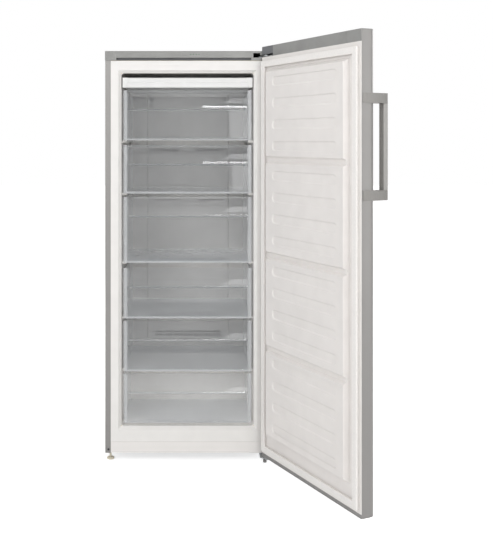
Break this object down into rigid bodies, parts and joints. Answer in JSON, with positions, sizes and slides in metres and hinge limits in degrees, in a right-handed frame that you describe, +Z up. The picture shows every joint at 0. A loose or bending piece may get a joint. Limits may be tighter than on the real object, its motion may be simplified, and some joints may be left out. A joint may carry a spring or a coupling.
{
  "type": "upright freezer",
  "caption": "Free-standing upright freezer with an open right-hung door, embossed door liner, bar handle, clear sliding drawers and a top tray.",
  "frame": {"origin": "on the floor, at the middle of the cabinet's width, under the front plane of the cabinet", "axes": "+X to the right seen from the front (the hinge side), +Y to the back, +Z up"},
  "size_m": [0.9156, 1.1591, 1.508],
  "materials": {
    "silver_steel": "satin silver lacquer",
    "white_liner": "satin white",
    "white_door_liner": "satin white",
    "white_panel": "satin white",
    "insulation": "rigid polyurethane foam",
    "galvanised_steel": "zinc-plated",
    "screw_steel": "plated",
    "silver_plastic": "silver paint over plastic",
    "grey_top": "fine-textured grey",
    "dark_plastic": "dark grey",
    "cream_plastic": "cream",
    "roller_nylon": "off-white nylon",
    "clear_drawer": "clear moulded plastic",
    "clear_tray": "milky translucent",
    "gasket_rubber": "soft pale grey vinyl",
    "brushed_handle": "brushed",
    "handle_mount_metal": "satin silver",
    "fin_aluminium": "plain",
    "heater_sheath": "plain",
    "motor_housing": "grey",
    "compressor_black": "black enamel",
    "condenser_tube": "copper-coated tube",
    "circuit_board": "green board with clear lamps"
  },
  "bodies": {
    "cabinet": {"back_panel": "galvanised_steel", "back_rivets": "screw_steel", "base_pan": "galvanised_steel", "cabinet_foam": "insulation", "cabinet_shell": "silver_steel", "compressor": "compressor_black", "compressor_cover": "dark_plastic", "compressor_grommets": "gasket_rubber", "condenser": "condenser_tube", "control_board": "circuit_board", "defrost_heater": "heater_sheath", "drain_trough": "roller_nylon", "end_cap_left": "silver_plastic", "evaporating_pan": "dark_plastic", "evaporator": "fin_aluminium", "evaporator_cover": "white_liner", "fan_frame": "roller_nylon", "fan_motor": "motor_housing", "hinge_cover": "silver_plastic", "hinge_hole_plugs": "dark_plastic", "hinge_screws": "screw_steel", "liner": "white_liner", "lower_hinge_bracket": "galvanised_steel", "plinth": "white_panel", "refrigerant_pipes": "condenser_tube", "supply_inlet": "dark_plastic", "top_panel": "grey_top", "top_trim": "silver_plastic", "upper_hinge_bracket": "galvanised_steel"},
    "door": {"door_shell": "silver_steel", "door_liner": "white_door_liner", "door_foam": "insulation", "door_gasket": "gasket_rubber", "door_top_cap": "silver_plastic", "door_hinge_cap": "dark_plastic", "door_bottom_cap": "dark_plastic", "hinge_bushes": "roller_nylon", "handle_bar": "brushed_handle", "handle_mounts": "handle_mount_metal", "handle_screws": "screw_steel"},
    "drawer_1": {"drawer_1_bin": "clear_drawer", "drawer_1_front": "clear_drawer"},
    "drawer_2": {"drawer_2_bin": "clear_drawer", "drawer_2_front": "clear_drawer"},
    "drawer_3": {"drawer_3_bin": "clear_drawer", "drawer_3_front": "clear_drawer"},
    "drawer_4": {"drawer_4_bin": "clear_drawer", "drawer_4_front": "clear_drawer"},
    "drawer_5": {"drawer_5_bin": "clear_drawer", "drawer_5_front": "clear_drawer"},
    "drawer_6": {"drawer_6_bin": "clear_drawer", "drawer_6_front": "clear_drawer"},
    "top_tray": {"top_tray": "clear_tray"},
    "foot_left": {"foot_left": "cream_plastic"},
    "foot_right": {"foot_right": "dark_plastic"},
    "roller_left": {"roller_left": "roller_nylon"},
    "roller_right": {"roller_right": "roller_nylon"},
    "fan": {"fan_blade": "roller_nylon"},
    "temperature_button": {"temperature_button": "silver_plastic"},
    "fast_freeze_button": {"fast_freeze_button": "silver_plastic"}
  },
  "joints": [
    {"name": "door_hinge", "type": "hinge", "parent": "cabinet", "child": "door", "pos_m": [0.288, -0.027, 0.75], "axis": [0, 0, 1], "range_deg": [-115.3, 9.7]},
    {"name": "drawer_1_slide", "type": "slide", "parent": "cabinet", "child": "drawer_1", "axis": [0, -1, 0], "range_m": [0, 0.33]},
    {"name": "drawer_2_slide", "type": "slide", "parent": "cabinet", "child": "drawer_2", "axis": [0, -1, 0], "range_m": [0, 0.33]},
    {"name": "drawer_3_slide", "type": "slide", "parent": "cabinet", "child": "drawer_3", "axis": [0, -1, 0], "range_m": [0, 0.33]},
    {"name": "drawer_4_slide", "type": "slide", "parent": "cabinet", "child": "drawer_4", "axis": [0, -1, 0], "range_m": [0, 0.33]},
    {"name": "drawer_5_slide", "type": "slide", "parent": "cabinet", "child": "drawer_5", "axis": [0, -1, 0], "range_m": [0, 0.33]},
    {"name": "drawer_6_slide", "type": "slide", "parent": "cabinet", "child": "drawer_6", "axis": [0, -1, 0], "range_m": [0, 0.2]},
    {"name": "top_tray_slide", "type": "slide", "parent": "cabinet", "child": "top_tray", "axis": [0, -1, 0], "range_m": [0, 0.3]},
    {"name": "foot_left_turn", "type": "hinge", "parent": "cabinet", "child": "foot_left", "pos_m": [-0.283, 0.03, 0.02], "axis": [0, 0, 1], "continuous": true},
    {"name": "foot_right_turn", "type": "hinge", "parent": "cabinet", "child": "foot_right", "pos_m": [0.281, -0.008, 0.015], "axis": [0, 0, 1], "continuous": true},
    {"name": "roller_left_spin", "type": "hinge", "parent": "cabinet", "child": "roller_left", "pos_m": [-0.24, 0.545, 0.014], "axis": [1, 0, 0], "continuous": true},
    {"name": "roller_right_spin", "type": "hinge", "parent": "cabinet", "child": "roller_right", "pos_m": [0.24, 0.545, 0.014], "axis": [1, 0, 0], "continuous": true},
    {"name": "fan_spin", "type": "hinge", "parent": "cabinet", "child": "fan", "pos_m": [0, 0.47, 1.24], "axis": [0, 1, 0], "continuous": true},
    {"name": "temperature_button_press", "type": "slide", "parent": "cabinet", "child": "temperature_button", "axis": [0, 1, 0], "range_m": [0, 0.001], "stiffness_N_per_m": 300},
    {"name": "fast_freeze_button_press", "type": "slide", "parent": "cabinet", "child": "fast_freeze_button", "axis": [0, 1, 0], "range_m": [0, 0.001], "stiffness_N_per_m": 300}
  ]
}
